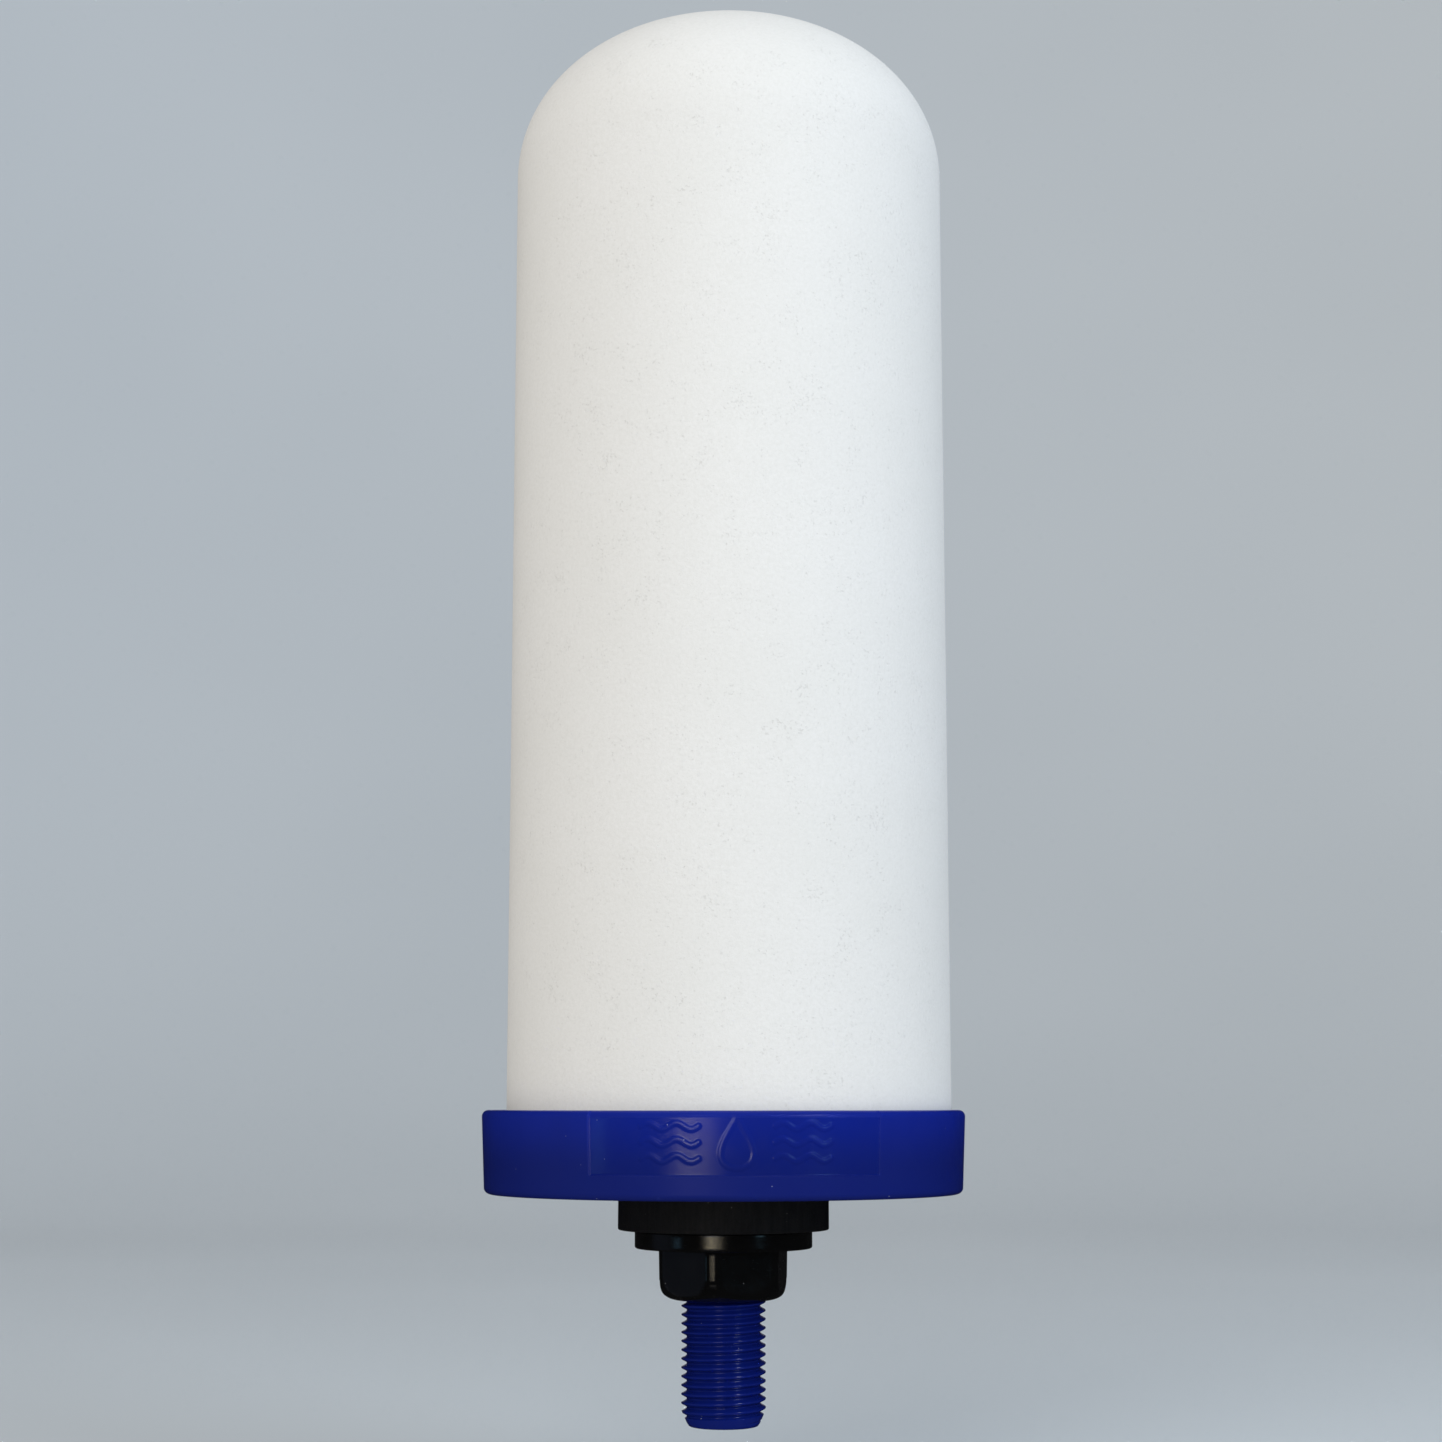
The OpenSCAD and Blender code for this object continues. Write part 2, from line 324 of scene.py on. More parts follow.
def put(tree, socket, value):
    if isinstance(value, bpy.types.NodeSocket):
        tree.links.new(value, socket)
    elif socket.type == "RGBA" and len(value) == 3:
        socket.default_value = (*value, 1)
    else:
        socket.default_value = value


def maths(tree, operation, a, b=0.0):
    made = add(tree, "ShaderNodeMath", {"operation": operation})
    put(tree, made.inputs[0], a)
    put(tree, made.inputs[1], b)
    return made.outputs[0]


def times(tree, a, b):
    return maths(tree, "MULTIPLY", a, b)


def plus(tree, a, b):
    return maths(tree, "ADD", a, b)


def minus(tree, a, b):
    return maths(tree, "SUBTRACT", a, b)


def vector_maths(tree, operation, a, b=(0, 0, 0)):
    """A vector operation's node, whose results are read from its outputs."""
    made = add(tree, "ShaderNodeVectorMath", {"operation": operation})
    put(tree, made.inputs[0], a)
    made.inputs[1].default_value = b
    return made


def ramp(tree, value, low, high, to_low=0.0, to_high=1.0):
    """A value eased from one range into another."""
    made = add(tree, "ShaderNodeMapRange", {"interpolation_type": "SMOOTHSTEP"}, Value=value,
               From_Min=low, From_Max=high, To_Min=to_low, To_Max=to_high)
    return made.outputs[0]


def mix(tree, share, a, b):
    """A colour between a and b."""
    made = add(tree, "ShaderNodeMix", {"data_type": "RGBA"})
    put(tree, made.inputs[0], share)
    put(tree, made.inputs[6], a)
    put(tree, made.inputs[7], b)
    return made.outputs[2]


def noise(tree, place, size, detail=3.0, roughness=0.5):
    """Cloudy noise whose features are about size metres across."""
    made = add(tree, "ShaderNodeTexNoise", Vector=place, Scale=1 / size, Detail=detail,
               Roughness=roughness)
    return made.outputs["Fac"]


def stretched(tree, place, scale):
    return vector_maths(tree, "MULTIPLY", place, scale).outputs[0]


def upward(tree, vector):
    """The upward part of a vector."""
    return add(tree, "ShaderNodeSeparateXYZ", Vector=vector).outputs[2]


def geometry(tree, name):
    """One of the surface's own values, such as its position."""
    return add(tree, "ShaderNodeNewGeometry").outputs[name]


def specks(tree, place, size, share, spread=0.32):
    """1 in small scattered dots, 0 elsewhere. share is the part of the cells that holds a dot."""
    cells = add(tree, "ShaderNodeTexVoronoi", Vector=place, Scale=1 / size, Randomness=1.0)
    chosen = add(tree, "ShaderNodeSeparateColor", Color=cells.outputs["Color"]).outputs[0]
    picked = maths(tree, "LESS_THAN", chosen, share)
    dot = ramp(tree, cells.outputs["Distance"], spread * 0.55, spread, 1.0, 0.0)
    return times(tree, picked, dot)


def new_material(name):
    """A plain material. Returns it, its node tree, its shader and the object's coordinates."""
    material = bpy.data.materials.new(name)
    material.use_nodes = True
    tree = material.node_tree
    tree.nodes.clear()
    out = tree.nodes.new("ShaderNodeOutputMaterial")
    shader = tree.nodes.new("ShaderNodeBsdfPrincipled")
    tree.links.new(shader.outputs[0], out.inputs["Surface"])
    place = tree.nodes.new("ShaderNodeTexCoord").outputs["Object"]
    return material, tree, shader, place


def coat(tree, shader, colour, roughness, specular=0.5):
    put(tree, shader.inputs["Base Color"], colour)
    put(tree, shader.inputs["Roughness"], roughness)
    put(tree, shader.inputs["Specular IOR Level"], specular)


def bump(tree, shader, height, depth, strength=1.0, under=None):
    """Adds relief of depth metres to the shader's normal."""
    made = add(tree, "ShaderNodeBump", Height=height, Distance=depth, Strength=strength)
    if under is not None:
        tree.links.new(under, made.inputs["Normal"])
    tree.links.new(made.outputs[0], shader.inputs["Normal"])
    return made.outputs[0]


# ---------------------------------------------------------------- finishes of what is seen

def ceramic_finish():
    """Fired white ceramic: matt and sandy, with faint clustered pits and a few beige stains."""
    material, tree, shader, place = new_material("ceramic")
    clouds = noise(tree, place, 30 * MM, detail=4)
    clusters = noise(tree, place, 5 * MM, detail=3)
    grain = noise(tree, place, 0.55 * MM, detail=6, roughness=0.7)
    ragged = noise(tree, place, 0.42 * MM, detail=3, roughness=0.6)
    pits = ramp(tree, plus(tree, ragged, times(tree, clusters, 0.35)), 0.81, 0.92)
    blots = noise(tree, place, 1.4 * MM, detail=5, roughness=0.7)
    areas = noise(tree, place, 16 * MM)
    stains = ramp(tree, plus(tree, blots, times(tree, areas, 0.5)), 0.98, 1.08)
    colour = mix(tree, ramp(tree, clouds, 0.3, 0.7), (0.84, 0.835, 0.815), (0.865, 0.86, 0.845))
    sand = ramp(tree, grain, 0.34, 0.70, 0.0, 0.5)
    colour = mix(tree, sand, colour, (0.78, 0.775, 0.75))
    colour = mix(tree, times(tree, pits, 0.13), colour, (0.50, 0.48, 0.43))
    colour = mix(tree, times(tree, stains, 0.20), colour, (0.62, 0.55, 0.40))
    coat(tree, shader, colour, ramp(tree, grain, 0.2, 0.8, 0.84, 0.97), 0.2)
    relief = bump(tree, shader, grain, 0.09 * MM, 0.9)
    bump(tree, shader, minus(tree, 1.0, pits), 0.06 * MM, 0.7, relief)
    return material


def on_panel(tree, place, height):
    """1 on the cap's recessed panel, 0 elsewhere."""
    soft = 0.1 * MM
    soft_side = 0.003  # of the angle's cosine
    outward = vector_maths(tree, "NORMALIZE", stretched(tree, place, (1, 1, 0))).outputs[0]
    middle = (math.cos(PANEL_MIDDLE), math.sin(PANEL_MIDDLE), 0)
    facing = vector_maths(tree, "DOT_PRODUCT", outward, middle).outputs["Value"]
    side = math.cos(PANEL_ANGLE / 2)
    top = CAP_H - CAP_EDGE
    across = ramp(tree, facing, side - soft_side, side + soft_side)
    above = ramp(tree, height, PANEL_FOOT_Z - soft, PANEL_FOOT_Z + soft)
    below = ramp(tree, height, top - soft, top + soft, 1.0, 0.0)
    return times(tree, across, times(tree, above, below))


def blue_finish():
    """Moulded deep blue plastic: satin, glossy on its panel and thread, and a little dusty.

    Towards the rim the blue is painted lighter and stronger: painted light.
    """
    material, tree, shader, place = new_material("blue_plastic")
    height = upward(tree, place)
    flow = noise(tree, place, 14 * MM, detail=3)
    skin = noise(tree, place, 1.8 * MM, detail=4, roughness=0.6)
    fine = noise(tree, place, 0.25 * MM, detail=3, roughness=0.7)
    grains = specks(tree, place, 1.15 * MM, 0.07, 0.085)
    worn = ramp(tree, geometry(tree, "Pointiness"), 0.54, 0.64, 0.0, 0.12)
    # painted light: the blue grows lighter and stronger up towards the rim
    rim = ramp(tree, height, 4 * MM, 13 * MM)
    colour = mix(tree, rim, (0.0038, 0.0120, 0.157), (0.0034, 0.0158, 0.272))
    clouds = ramp(tree, flow, 0.3, 0.7, 0.0, 0.25)
    colour = mix(tree, clouds, colour, (0.0034, 0.0095, 0.145))
    colour = mix(tree, worn, colour, (0.03, 0.06, 0.34))
    colour = mix(tree, times(tree, grains, 0.6), colour, (0.55, 0.60, 0.72))
    off_panel = minus(tree, 1.0, on_panel(tree, place, height))
    satin = times(tree, ramp(tree, height, -1.5 * MM, -0.5 * MM), off_panel)
    rough = plus(tree, ramp(tree, skin, 0.25, 0.75, 0.16, 0.22), times(tree, satin, 0.18))
    rough = plus(tree, rough, times(tree, grains, 0.4))
    coat(tree, shader, colour, rough, minus(tree, 0.42, times(tree, satin, 0.24)))
    relief = bump(tree, shader, skin, 0.012 * MM, 0.5)
    relief = bump(tree, shader, fine, 0.003 * MM, 0.5, relief)
    bump(tree, shader, grains, 0.05 * MM, 0.6, relief)
    return material


def rubber_finish():
    """Cut sheet rubber: matt black, with a fine tooth, faint saw lines and a little dust."""
    material, tree, shader, place = new_material("rubber")
    tooth = noise(tree, place, 0.22 * MM, detail=5, roughness=0.7)
    lines = noise(tree, stretched(tree, place, (1, 1, 0.12)), 0.5 * MM, detail=3)
    powder = noise(tree, place, 3 * MM, detail=7, roughness=0.75)
    grains = specks(tree, place, 1.2 * MM, 0.08, 0.12)
    colour = mix(tree, ramp(tree, lines, 0.3, 0.7),
                 (0.0068, 0.0067, 0.0067), (0.0112, 0.0111, 0.0110))
    dust = ramp(tree, powder, 0.52, 0.8, 0.0, 0.30)
    colour = mix(tree, dust, colour, (0.022, 0.021, 0.020))
    colour = mix(tree, times(tree, grains, 0.4), colour, (0.25, 0.24, 0.22))
    coat(tree, shader, colour, ramp(tree, tooth, 0.25, 0.75, 0.55, 0.8), 0.35)
    relief = bump(tree, shader, lines, 0.04 * MM, 0.5)
    bump(tree, shader, tooth, 0.03 * MM, 0.6, relief)
    return material


def nut_finish():
    """Glossy black moulded plastic with faint handling scuffs."""
    material, tree, shader, place = new_material("nut_plastic")
    flow = noise(tree, place, 5 * MM, detail=3)
    skin = noise(tree, place, 0.9 * MM, detail=4, roughness=0.6)
    scuffs = noise(tree, stretched(tree, place, (1, 1, 6)), 1.3 * MM, detail=6, roughness=0.75)
    worn = ramp(tree, geometry(tree, "Pointiness"), 0.53, 0.64, 0.0, 0.35)
    grains = specks(tree, place, 1.5 * MM, 0.05, 0.09)
    colour = mix(tree, ramp(tree, flow, 0.3, 0.7),
                 (0.0029, 0.0029, 0.0030), (0.0044, 0.0044, 0.0045))
    colour = mix(tree, worn, colour, (0.020, 0.020, 0.021))
    colour = mix(tree, times(tree, grains, 0.35), colour, (0.25, 0.25, 0.25))
    gloss = plus(tree, ramp(tree, skin, 0.25, 0.75, 0.13, 0.2),
                 ramp(tree, scuffs, 0.55, 0.75, 0.0, 0.16))
    coat(tree, shader, colour, gloss)
    relief = bump(tree, shader, skin, 0.02 * MM, 0.4)
    bump(tree, shader, scuffs, 0.006 * MM, 0.4, relief)
    return material


def bond_finish():
    """Cured off-white resin with small bubbles."""
    material, tree, shader, place = new_material("bond")
    flow = noise(tree, place, 4 * MM, detail=5, roughness=0.6)
    bubbles = specks(tree, place, 0.9 * MM, 0.18, 0.3)
    colour = mix(tree, ramp(tree, flow, 0.3, 0.75), (0.60, 0.59, 0.54), (0.74, 0.73, 0.69))
    colour = mix(tree, times(tree, bubbles, 0.4), colour, (0.38, 0.37, 0.33))
    coat(tree, shader, colour, ramp(tree, flow, 0.2, 0.8, 0.25, 0.5))
    relief = bump(tree, shader, flow, 0.12 * MM, 0.5)
    bump(tree, shader, minus(tree, 1.0, bubbles), 0.1 * MM, 0.6, relief)
    return material


# ---------------------------------------------------------------- finishes of what is inside

def inner_finish(name, dark, light, patch, grain, depth, gloss, speck=None):
    """A patchy finish with a grained relief; gloss is its range of roughness."""
    material, tree, shader, place = new_material(name)
    patches = noise(tree, place, patch, detail=4)
    grains = noise(tree, place, grain, detail=5, roughness=0.7)
    darker = tuple(c * 0.7 for c in dark)
    colour = mix(tree, ramp(tree, patches, 0.3, 0.7), dark, light)
    colour = mix(tree, ramp(tree, grains, 0.35, 0.75, 0.0, 0.4), colour, darker)
    if speck:
        dots = specks(tree, place, grain * 4, 0.3, 0.3)
        colour = mix(tree, times(tree, dots, 0.6), colour, speck)
    coat(tree, shader, colour, ramp(tree, grains, 0.2, 0.8, *gloss))
    bump(tree, shader, grains, depth, 0.7)
    return material


def fibre_finish(name, colour_low, colour_high):
    """Non-woven: long crossing fibres."""
    material, tree, shader, place = new_material(name)
    one = noise(tree, stretched(tree, place, (1, 1, 7)), 1.2 * MM, detail=6, roughness=0.75)
    two = noise(tree, stretched(tree, place, (5, 5, 0.8)), 1.0 * MM, detail=6, roughness=0.75)
    fibres = maths(tree, "MAXIMUM", one, two)
    colour = mix(tree, ramp(tree, fibres, 0.45, 0.75), colour_low, colour_high)
    coat(tree, shader, colour, ramp(tree, fibres, 0.4, 0.8, 0.75, 0.95))
    put(tree, shader.inputs["Sheen Weight"], 0.2)
    bump(tree, shader, fibres, 0.15 * MM, 0.8)
    return material


def foam_finish():
    """Open-cell foam: light cell walls, with painted shade in the pores between them."""
    material, tree, shader, place = new_material("foam")
    cell = 0.9 * MM
    cells = add(tree, "ShaderNodeTexVoronoi", {"feature": "DISTANCE_TO_EDGE"},
                Vector=place, Scale=1 / cell)
    walls = ramp(tree, cells.outputs["Distance"], 0.02, 0.16, 1.0, 0.0)
    # painted shade: the pores between the cell walls are painted dark
    colour = mix(tree, walls, (0.22, 0.30, 0.36), (0.52, 0.62, 0.70))
    coat(tree, shader, colour, ramp(tree, walls, 0.0, 1.0, 0.95, 0.8))
    bump(tree, shader, walls, 0.3 * MM, 0.9)
    return material


def paint_inside():
    """Finishes for the CAD nodes that stay as they are."""
    white = inner_finish("white_plastic", (0.68, 0.68, 0.66), (0.76, 0.76, 0.75),
                         12 * MM, 0.6 * MM, 0.02 * MM, (0.32, 0.5))
    net = inner_finish("net_plastic", (0.62, 0.64, 0.66), (0.74, 0.76, 0.78),
                       6 * MM, 0.4 * MM, 0.03 * MM, (0.3, 0.5))
    carbon = inner_finish("carbon", (0.006, 0.006, 0.006), (0.014, 0.014, 0.014),
                          9 * MM, 0.35 * MM, 0.2 * MM, (0.7, 0.95), speck=(0.05, 0.05, 0.052))
    melt = inner_finish("hot_melt", (0.52, 0.42, 0.26), (0.66, 0.56, 0.38),
                        3 * MM, 1.2 * MM, 0.15 * MM, (0.25, 0.45))
    seal = inner_finish("seal_rubber", (0.005, 0.005, 0.005), (0.010, 0.010, 0.010),
                        4 * MM, 0.3 * MM, 0.015 * MM, (0.35, 0.55))
    fibres = fibre_finish("non_woven", (0.62, 0.62, 0.60), (0.82, 0.82, 0.80))
    finishes = {
        "carbon_block": carbon,
        "core_liner": fibres,
        "block_wrap": fibres,
        "block_netting": net,
        "block_bottom_cap": white,
        "block_top_cap": white,
        "bottom_bond": melt,
        "top_bond": melt,
        "spigot_o_ring": seal,
        "dome_pad": foam_finish(),
    }
    for node, material in finishes.items():
        for entry in frame["nodes"][node].material_slots:
            entry.material = material


# ---------------------------------------------------------------- ceramic shell

def dome_rows(radius, foot, side_top, height, straight_rows, dome_steps):
    """Rows up a straight side and over a superellipse dome, short of its crown."""
    rows = [(radius, z) for z in np.linspace(foot, side_top, straight_rows)]
    for t in np.linspace(0, math.pi / 2, dome_steps + 1)[1:-1]:
        rows.append((radius * math.cos(t) ** (2 / DOME_FULLNESS),
                     side_top + height * math.sin(t) ** (2 / DOME_FULLNESS)))
    return rows


def ceramic_shell():
    edge = 0.6 * MM
    uneven = 0.05 * MM
    side_top = shell_high.z - DOME_H
    inner_r = SHELL_R - SHELL_WALL
    inner_dome_h = DOME_H - SHELL_WALL - MM
    angle = even_angles(320)
    surface = Surface()

    def outside(rows):
        for radius, height in rows:
            dent = (wobble(angle, height, seed=11) - 1) / 2 * uneven * radius / SHELL_R
            yield radius + dent, height

    outer = [(SHELL_R - edge, shell_low.z)]
    outer += dome_rows(SHELL_R, shell_low.z + edge, side_top, DOME_H, 150, 72)
    foot, crown = surface.sweep(angle, outside(outer), shift=SHELL_SHIFT)
    surface.close_end(crown, shell_high.z, SHELL_SHIFT)
    inner = [(inner_r + edge, shell_low.z)]
    inner += dome_rows(inner_r, shell_low.z + edge, side_top, inner_dome_h, 30, 24)
    _, roof = surface.sweep(angle, inner, start=foot, shift=SHELL_SHIFT)
    surface.close_end(roof, side_top + inner_dome_h, SHELL_SHIFT)
    surface.make("ceramic_shell_fired", "element", ceramic_finish(),
                 ["ceramic_shell"])


# ---------------------------------------------------------------- relief on the cap's panel

def drop_outline(width, height, count=90):
    """A water drop, point up, as points round its middle."""
    t = np.linspace(0, TAU, count)
    x = width / 2 * 1.3 * np.sin(t) * np.sin(t / 2) ** 1.6
    return np.stack([x, height / 2 * np.cos(t)], 1)


def wave_line(left, right, middle, swing, length, count=70):
    x = np.linspace(left, right, count)
    return np.stack([x, middle + swing * np.sin((x - left) / length * TAU)], 1)


def relief_lines():
    """Centre lines of the raised marks: a drop with short waves on both sides."""
    wave_w = 8.6 * MM
    swing = 0.45 * MM
    gap = 2.3 * MM
    lines = [drop_outline(5.4 * MM, 7.4 * MM)]
    for row in (-gap, 0, gap):
        for left in (-14.2 * MM, 5.6 * MM):
            lines.append(wave_line(left, left + wave_w, row, swing, wave_w / 2))
    return lines


def relief(across, up):
    """Height of the raised marks, from 0 to 1, at points on the panel."""
    nearest = np.full(across.shape, 1.0)
    for line in relief_lines():
        for x, y in line:
            nearest = np.minimum(nearest, np.hypot(across - x, up - y))
    return 1 - smoothstep(0.25 * RELIEF_STROKE, 1.45 * RELIEF_STROKE, nearest)


# ---------------------------------------------------------------- base cap and stem

def thread_radius(phase, grow=0.0):
    """Radius of a rounded pipe thread. phase runs from 0 to 1 over one pitch, up the axis."""
    crest_place = 7 / 12
    from_crest = np.abs((phase - crest_place + 0.5) % 1 - 0.5) * PITCH
    from_root = PITCH / 2 - from_crest
    bend = CREST_ROUND * math.cos(FLANK_ANGLE)
    fall = CREST_ROUND * (1 - math.sin(FLANK_ANGLE))
    crest = CREST_ROUND - np.sqrt(CREST_ROUND ** 2 - np.minimum(from_crest, bend) ** 2)
    root = CREST_ROUND - np.sqrt(CREST_ROUND ** 2 - np.minimum(from_root, bend) ** 2)
    flank = fall + (THREAD_DEPTH - 2 * fall) * (from_crest - bend) / (PITCH / 2 - 2 * bend)
    lower = np.where(from_root < bend, THREAD_DEPTH - root, flank)
    depth = np.where(from_crest < bend, crest, lower)
    return CREST_R - depth + grow


def stem_radius(phase, height):
    """Radius of the stem: chamfered at its tip, threaded, and plain above the thread."""
    blend = 0.12 * MM
    plain_top = TIP_Z + TIP_PLAIN_L
    chamfer = TIP_R + (SHANK_R - TIP_R) * (height - TIP_Z) / TIP_L
    radius = smooth_min(thread_radius(phase), np.maximum(chamfer, 0), 0.05 * MM)
    uniform = smoothstep(plain_top + blend, plain_top, height)
    radius = radius * (1 - uniform) + chamfer * uniform
    run_out = smoothstep(SHANK_FOOT_Z - RUN_OUT_L, SHANK_FOOT_Z, height)
    return radius * (1 - run_out) + SHANK_R * run_out


def cap_columns():
    """Angles round the cap: close together across the panel, wider elsewhere."""
    margin = math.radians(1)
    step = math.radians(0.16)
    start = PANEL_MIDDLE - PANEL_ANGLE / 2 - margin
    end = PANEL_MIDDLE + PANEL_ANGLE / 2 + margin
    fine = np.arange(start, end, step)
    wide = np.linspace(end, start + TAU, 226)[:-1]
    return np.concatenate([fine, wide])


def cap_wall(angle, height):
    """Radius of the cap's outside at one height, with the panel and its marks."""
    uneven = 0.012 * MM * (wobble(angle, height, seed=5, rate=300) - 1)
    share = (height - CAP_EDGE) / (CAP_H - 2 * CAP_EDGE)
    radius = CAP_FOOT_R + (CAP_R - CAP_FOOT_R) * min(max(share, 0), 1)
    return radius - panel_cut(angle, height) + uneven


def panel_cut(angle, height):
    """How deep the panel lies below the wall, less the height of its raised marks."""
    off = (angle - PANEL_MIDDLE + math.pi) % TAU - math.pi
    across = off * CAP_R
    edge = PANEL_ANGLE / 2 * CAP_R
    inside = 1 - smoothstep(edge - PANEL_SIDE_W / 2, edge + PANEL_SIDE_W / 2, np.abs(across))
    inside = inside * smoothstep(PANEL_FOOT_Z - 0.1 * MM, PANEL_FOOT_Z + 0.15 * MM, height)
    up = height - RELIEF_MIDDLE_Z
    raised = relief(across, np.full(across.shape, up)) if abs(up) < RELIEF_REACH else 0
    return inside * (PANEL_RECESS - RELIEF_H * raised)


def cap_outside_rows(angle):
    """From under the washer, out over the seat, round the foot, up the wall and over the rim."""
    top = CAP_H - CAP_EDGE
    for radius in (7.3, 12):
        yield radius * MM, 0
    for across in np.linspace(-0.5, 0.5, 7):
        depth = SEAT_GROOVE_DEPTH * math.cos(math.pi * across) ** 0.5 if abs(across) < 0.5 else 0
        yield SEAT_GROOVE_R + across * SEAT_GROOVE_W, depth
    for radius in (22, 27, 32):
        yield radius * MM, 0
    for row in arc(CAP_FOOT_R - CAP_EDGE, CAP_EDGE, CAP_EDGE, -90, 0, 9)[:-1]:
        yield row
    panel_start = PANEL_FOOT_Z - 0.2 * MM
    heights = np.concatenate([np.linspace(CAP_EDGE, panel_start, 9)[:-1],
                              np.arange(panel_start, top, 0.1 * MM)])
    for height in heights:
        yield cap_wall(angle, height), height
    for turn in np.radians(np.linspace(0, 90, 9)):
        radius = cap_wall(angle, top) - CAP_EDGE * (1 - math.cos(turn))
        yield radius, top + CAP_EDGE * math.sin(turn)


def cap_inside_rows():
    """From the rim down the channel, over the upstand and boss to the socket's floor."""
    soft = 0.25 * MM
    yield CHANNEL_R + soft, CAP_H
    yield CHANNEL_R + soft * 0.3, CAP_H - soft * 0.3
    yield CHANNEL_R, CAP_H - soft
    yield CHANNEL_R, CHANNEL_FLOOR_Z
    yield UPSTAND_R, CHANNEL_FLOOR_Z
    yield UPSTAND_R, UPSTAND_TOP_Z - soft
    yield UPSTAND_R - soft, UPSTAND_TOP_Z
    yield UPSTAND_R - UPSTAND_WALL + soft, UPSTAND_TOP_Z
    yield UPSTAND_R - UPSTAND_WALL, UPSTAND_TOP_Z - soft
    yield UPSTAND_R - UPSTAND_WALL, CHANNEL_FLOOR_Z
    yield BOSS_R, CHANNEL_FLOOR_Z
    yield BOSS_R, BOSS_TOP_Z - soft
    yield BOSS_R - soft, BOSS_TOP_Z
    yield SOCKET_R + soft, BOSS_TOP_Z
    yield SOCKET_R, BOSS_TOP_Z - soft
    yield SOCKET_R, SOCKET_FLOOR_Z
    yield OUTLET_R + 0.5 * MM, SOCKET_FLOOR_Z


def base_cap():
    """The cap with its stem. Its stiffening ribs sink a little into the walls they join."""
    surface = Surface()
    columns = cap_columns()
    under, rim = surface.sweep(columns, cap_outside_rows(columns))
    _, floor = surface.sweep(columns, cap_inside_rows(), start=rim)

    around = even_angles(THREAD_COLUMNS)
    thread_low, thread_high = surface.helix(stem_radius, TIP_Z + TIP_PLAIN_L, SHANK_FOOT_Z,
                                            THREAD_COLUMNS, THREAD_ROWS)
    _, top = surface.sweep(around, [(SHANK_R, 0)], start=thread_high)
    surface.zip_rings(top, under)
    ease = 0.25 * MM
    tip = [(TIP_R - 0.05 * MM, TIP_Z + 0.08 * MM), (TIP_R - ease, TIP_Z),
           (OUTLET_R + ease, TIP_Z), (OUTLET_R, TIP_Z + ease)]
    bore = [(OUTLET_R, z) for z in np.linspace(TIP_Z + 2 * MM, SOCKET_FLOOR_Z, 12)]
    _, bore_top = surface.sweep(around, tip + bore, start=thread_low)
    surface.zip_rings(bore_top, floor)

    sunk = 0.3 * MM
    for turn in even_angles(RIB_COUNT):
        surface.block((BOSS_R - sunk, -RIB_T / 2, CHANNEL_FLOOR_Z - sunk),
                      (UPSTAND_R - UPSTAND_WALL + sunk, RIB_T / 2, RIB_TOP_Z), turn)
    surface.make("base_cap_moulded", "element", blue_finish(), ["base_cap"])


# ---------------------------------------------------------------- bond between shell and cap

def bond_ring():
    """Resin in the channel: its top sags between the shell and the cap's wall."""
    columns = 256
    angle = even_angles(columns)
    offset = SHELL_SHIFT * np.cos(angle)
    side = SHELL_SHIFT * np.sin(angle)
    shell_out = offset + np.sqrt(SHELL_R ** 2 - side ** 2)
    shell_in = offset + np.sqrt((SHELL_R - SHELL_WALL) ** 2 - side ** 2)
    upstand = np.full(columns, UPSTAND_R)
    foot = shell_low.z
    inner_top = 9 * MM
    rows = [(CHANNEL_R, bond_low.z)]
    for share in np.linspace(0, 1, 9):
        sag = 0.5 * MM * (1 - (2 * share - 1) ** 2) ** 0.6
        ripple = 1 + wobble(angle, share * 4 * MM, seed=23, turns=14, rate=900)
        uneven = 0.12 * MM * ripple * math.sin(math.pi * share)
        radius = CHANNEL_R + (shell_out - CHANNEL_R) * share
        rows.append((radius, bond_high.z - sag - uneven))
    rows += [(shell_out, foot), (shell_in, foot), (shell_in, inner_top),
             ((shell_in + UPSTAND_R) / 2, inner_top - 0.3 * MM),
             (upstand, inner_top), (upstand, bond_low.z)]
    surface = Surface()
    first, last = surface.sweep(angle, rows)
    surface.join(last, first)
    surface.make("bond_ring_cured", "element", bond_finish(), ["potting_ring"])


# ---------------------------------------------------------------- washer

def seal_washer():
    angle = even_angles(192)
    bore = SHANK_R + 0.08 * MM
    edge = 0.25 * MM
    low, high = washer_low.z, washer_high.z
    rows = [(bore, high), (WASHER_R - edge, high)]
    rows += arc(WASHER_R - edge, high - edge, edge, 75, 0, 4)
    rows += [(WASHER_R, z) for z in np.linspace(high - edge, low + edge, 14)[1:-1]]
    rows += arc(WASHER_R - edge, low + edge, edge, 0, -90, 5)
    rows += [(bore, low)]
    surface = Surface()

    def cut_edge():
        for radius, height in rows:
            uneven = 0.03 * MM * (wobble(angle, height, seed=31, turns=12, rate=500) - 1)
            yield radius + uneven * (radius > 0.9 * WASHER_R), height

    first, last = surface.sweep(angle, cut_edge())
    surface.join(last, first)
    surface.make("seal_washer_cut", "washer", rubber_finish(), ["seal_washer"])


# ---------------------------------------------------------------- flanged nut

def hexagon(angle):
    """Radius of a hexagon whose corners are turned down to a cylinder."""
    from_flat = (angle - NUT_TURN + math.pi / 2) % (math.pi / 3) - math.pi / 6
    return smooth_min(NUT_FLAT_R / np.cos(from_flat), NUT_CORNER_R, 0.22 * MM)


